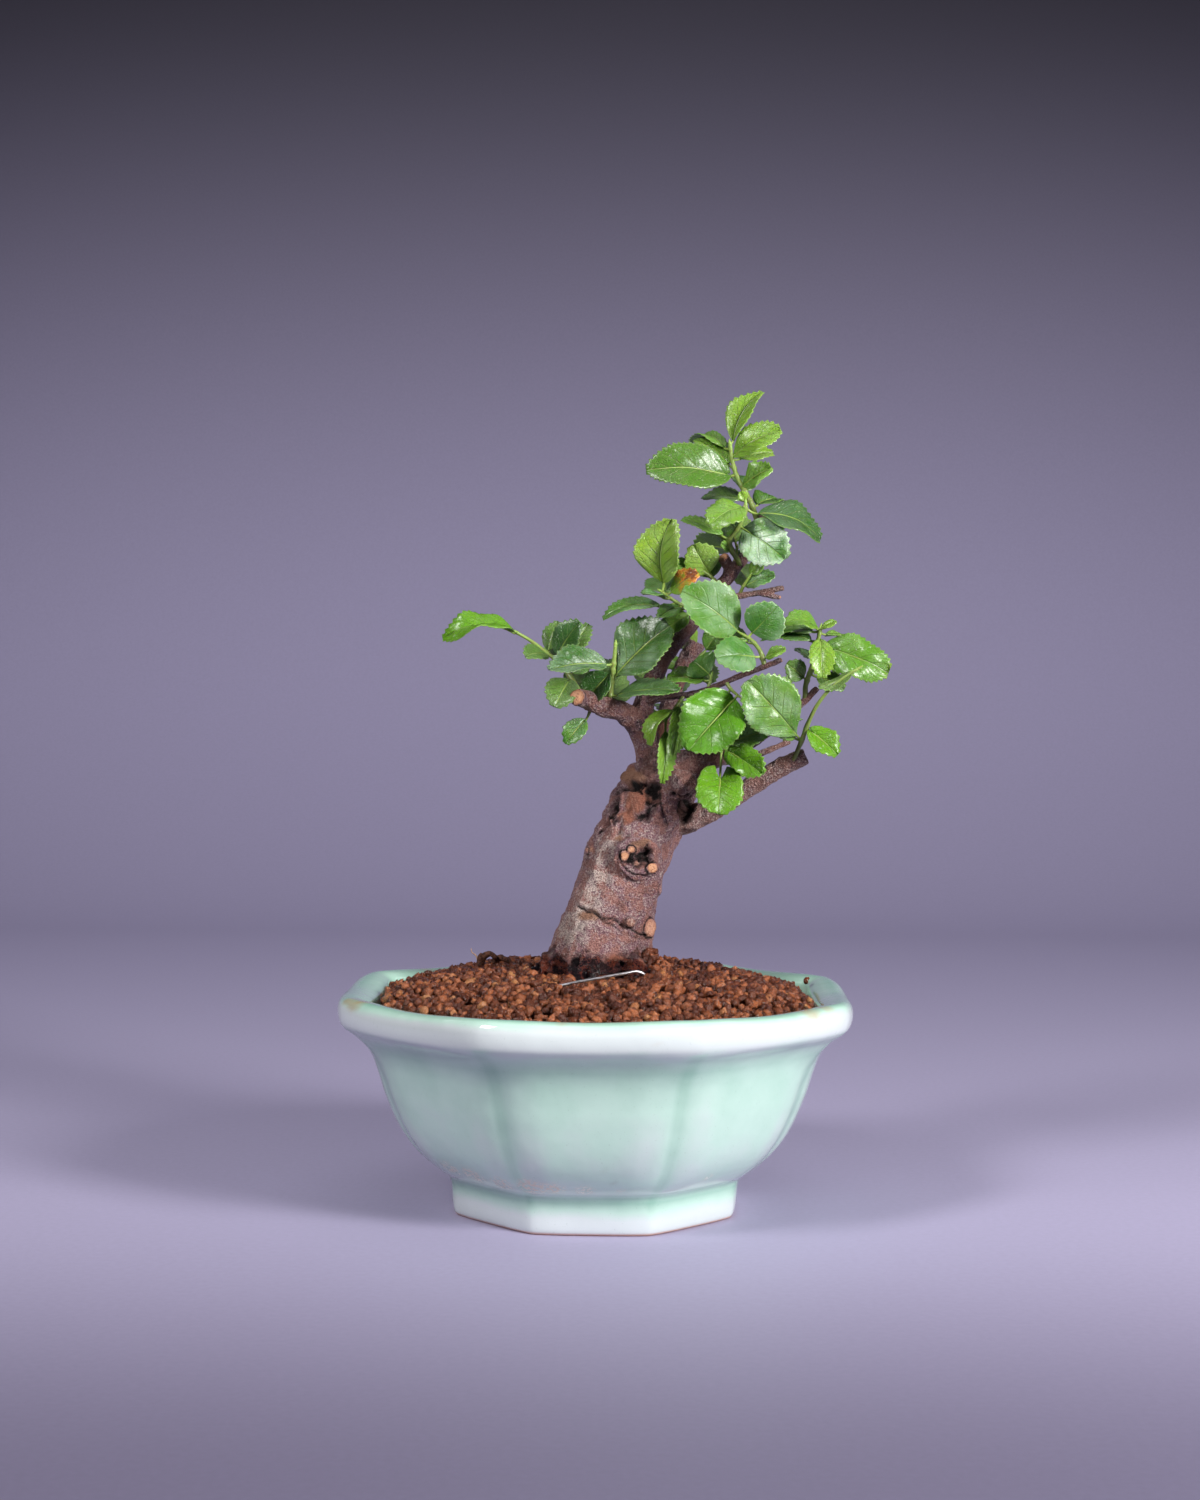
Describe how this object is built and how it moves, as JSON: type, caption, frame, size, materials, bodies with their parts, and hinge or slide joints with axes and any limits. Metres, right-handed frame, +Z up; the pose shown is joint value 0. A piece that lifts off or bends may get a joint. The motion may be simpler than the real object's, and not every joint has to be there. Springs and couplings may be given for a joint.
{
  "type": "sweet plum bonsai in an octagonal glazed pot",
  "caption": "Small leaning bonsai tree with glossy toothed leaves and pruned branches, standing in clay granules in an eight-sided celadon pot.",
  "frame": {"origin": "on the surface that the pot stands on, under the middle of the whole object's box", "axes": "+Z up, +X to the right and +Y to the back when the pot is seen from its front"},
  "size_m": [0.1639, 0.153, 0.2489],
  "materials": {
    "celadon_glaze": "glossy celadon glaze, thin and white on the lip, darker green in the flutes",
    "screen_plastic": "moulded black polyethylene",
    "baked_clay_granules": "moist red-brown baked clay granules",
    "aluminium_wire": "drawn aluminium, slightly dulled",
    "bark": "mottled brown and grey bark with pale pruning cuts",
    "leaf": "glossy green leaves with a waxy upper face"
  },
  "bodies": {
    "root": {"pot": "celadon_glaze", "drainage_mesh": "screen_plastic", "soil": "baked_clay_granules", "tie_wire": "aluminium_wire", "tree_wood": "bark", "shoot_apex": "leaf", "shoot_upper": "leaf", "shoot_leader_left": "leaf", "shoot_leader_right": "leaf", "shoot_middle_left": "leaf", "shoot_twig_end": "leaf", "shoot_right_upper": "leaf", "shoot_right_lower": "leaf", "shoot_second_stem": "leaf", "shoot_front_twig": "leaf", "shoot_twig_top": "leaf", "shoot_centre": "leaf", "shoot_right_branch": "leaf", "shoot_left_upright": "leaf", "shoot_left_hanging": "leaf", "shoot_left_outer": "leaf", "shoot_back_stem": "leaf", "shoot_back_right": "leaf", "shoot_back_left": "leaf", "shoot_back_top": "leaf"}
  },
  "joints": []
}
